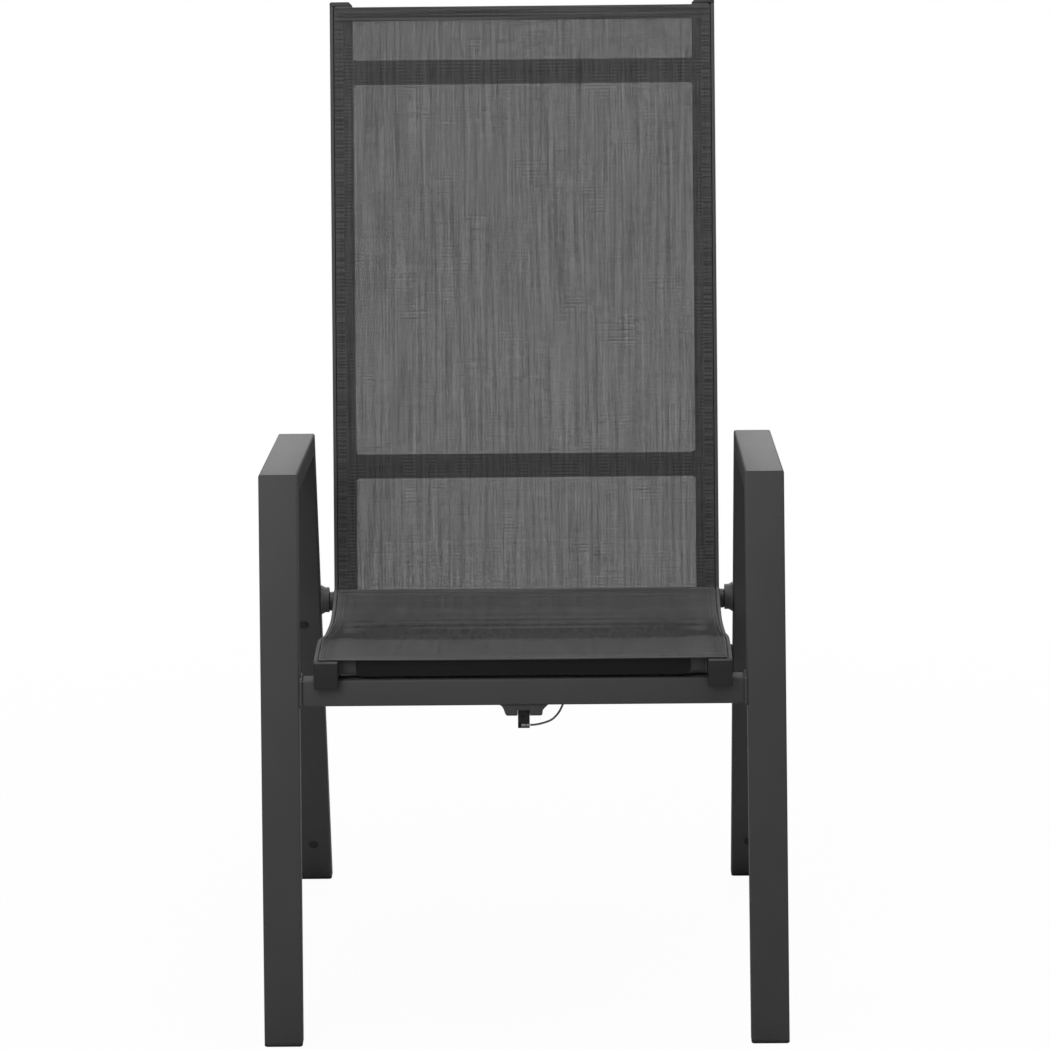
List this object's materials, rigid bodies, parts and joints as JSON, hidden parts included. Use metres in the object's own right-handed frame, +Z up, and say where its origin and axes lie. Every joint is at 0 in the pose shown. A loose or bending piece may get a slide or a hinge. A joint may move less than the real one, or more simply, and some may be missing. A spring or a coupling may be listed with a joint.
{
  "type": "reclining sling patio chair",
  "caption": "High-back garden armchair with mitred tube side frames, stretched mesh back and seat, and a gas spring with an armrest release that sets the recline",
  "frame": {"origin": "middle of the bounding box's underside: on the floor, centred between the four feet's outer limits", "axes": "+X to the right for a viewer who faces the chair's front, +Y from the front to the rear, +Z up"},
  "size_m": [0.591, 0.7146, 1.1136],
  "materials": {
    "coated_aluminium": "anthracite powder coat, fine grain, low sheen, over aluminium tube",
    "coated_steel": "dark powder coat over steel",
    "bright_steel": "zinc plated or ground steel",
    "black_plastic": "moulded black polyamide, matt",
    "cable_sheath": "dark grey plastic sheath over a steel wire",
    "sling_mesh": "open plastic-coated polyester weave, mixed light and dark grey yarns"
  },
  "bodies": {
    "frame": {"left_front_leg": "coated_aluminium", "right_front_leg": "coated_aluminium", "left_armrest": "coated_aluminium", "right_armrest": "coated_aluminium", "left_rear_leg": "coated_aluminium", "right_rear_leg": "coated_aluminium", "left_front_foot_cap": "black_plastic", "right_front_foot_cap": "black_plastic", "left_rear_foot_cap": "black_plastic", "right_rear_foot_cap": "black_plastic", "left_leg_plug_upper": "black_plastic", "right_leg_plug_upper": "black_plastic", "left_leg_plug_lower": "black_plastic", "right_leg_plug_lower": "black_plastic", "left_pivot_lug": "coated_aluminium", "right_pivot_lug": "coated_aluminium", "left_pivot_bush": "black_plastic", "right_pivot_bush": "black_plastic", "left_pivot_bolt": "bright_steel", "right_pivot_bolt": "bright_steel", "left_seat_glide": "black_plastic", "right_seat_glide": "black_plastic", "front_crossbar": "coated_aluminium", "rear_crossbar": "coated_aluminium", "spring_front_bracket": "coated_steel", "spring_front_pin": "bright_steel", "release_cable": "cable_sheath", "lever_housing": "black_plastic"},
    "back": {"left_back_rail": "coated_aluminium", "right_back_rail": "coated_aluminium", "left_back_rail_top_cap": "black_plastic", "right_back_rail_top_cap": "black_plastic", "left_back_rail_bottom_cap": "black_plastic", "right_back_rail_bottom_cap": "black_plastic", "left_seat_hinge_pin": "bright_steel", "right_seat_hinge_pin": "bright_steel", "upper_back_bar": "coated_aluminium", "lower_back_bar": "coated_aluminium", "bottom_back_bar": "coated_aluminium", "back_sling": "sling_mesh", "spring_rear_bracket": "coated_steel", "spring_rear_pin": "bright_steel"},
    "seat": {"left_seat_rail": "coated_aluminium", "right_seat_rail": "coated_aluminium", "left_seat_nose": "black_plastic", "right_seat_nose": "black_plastic", "left_seat_hinge_plate": "bright_steel", "right_seat_hinge_plate": "bright_steel", "seat_front_tube": "coated_aluminium", "seat_front_strip": "black_plastic", "middle_seat_bar": "coated_aluminium", "rear_seat_bar": "coated_aluminium", "seat_sling": "sling_mesh"},
    "spring_rod": {"release_head": "black_plastic", "cable_ferrule": "bright_steel", "spring_rod": "bright_steel"},
    "spring_cylinder": {"spring_cylinder": "coated_steel"},
    "rocker": {"release_rocker": "black_plastic"},
    "lever": {"release_lever": "black_plastic"}
  },
  "joints": [
    {"name": "recline", "type": "hinge", "parent": "frame", "child": "back", "pos_m": [0, 0.12988, 0.406], "axis": [-1, 0, 0], "range_deg": [0, 32]},
    {"name": "seat_hinge", "type": "hinge", "parent": "back", "child": "seat", "pos_m": [0, 0.12156, 0.36687], "axis": [1, 0, 0], "range_deg": [0, 33.4]},
    {"name": "spring_tilt", "type": "hinge", "parent": "frame", "child": "spring_rod", "pos_m": [0, -0.31307, 0.384], "axis": [1, 0, 0], "range_deg": [0, 4.3]},
    {"name": "spring_stroke", "type": "slide", "parent": "spring_rod", "child": "spring_cylinder", "axis": [0, -0.9921, 0.1258], "range_m": [0, 0.037]},
    {"name": "release_lever", "type": "hinge", "parent": "frame", "child": "lever", "pos_m": [0.26731, -0.2849, 0.61674], "axis": [1, 0, 0], "range_deg": [0, 10], "stiffness_Nm_per_rad": 0.25, "springref_deg": -11.46},
    {"name": "rocker_swing", "type": "hinge", "parent": "spring_rod", "child": "rocker", "pos_m": [-0.0015, -0.31627, 0.37473], "axis": [0, -0.9921, 0.1258], "range_deg": [0, 8.2]}
  ],
  "couplings": [
    {"joint": "seat_hinge", "follows": "recline", "ratio": 1.038},
    {"joint": "spring_tilt", "follows": "recline", "ratio": 0.13},
    {"joint": "spring_stroke", "follows": "recline", "m_per_rad": 0.0653},
    {"joint": "rocker_swing", "follows": "release_lever", "ratio": 0.8}
  ]
}
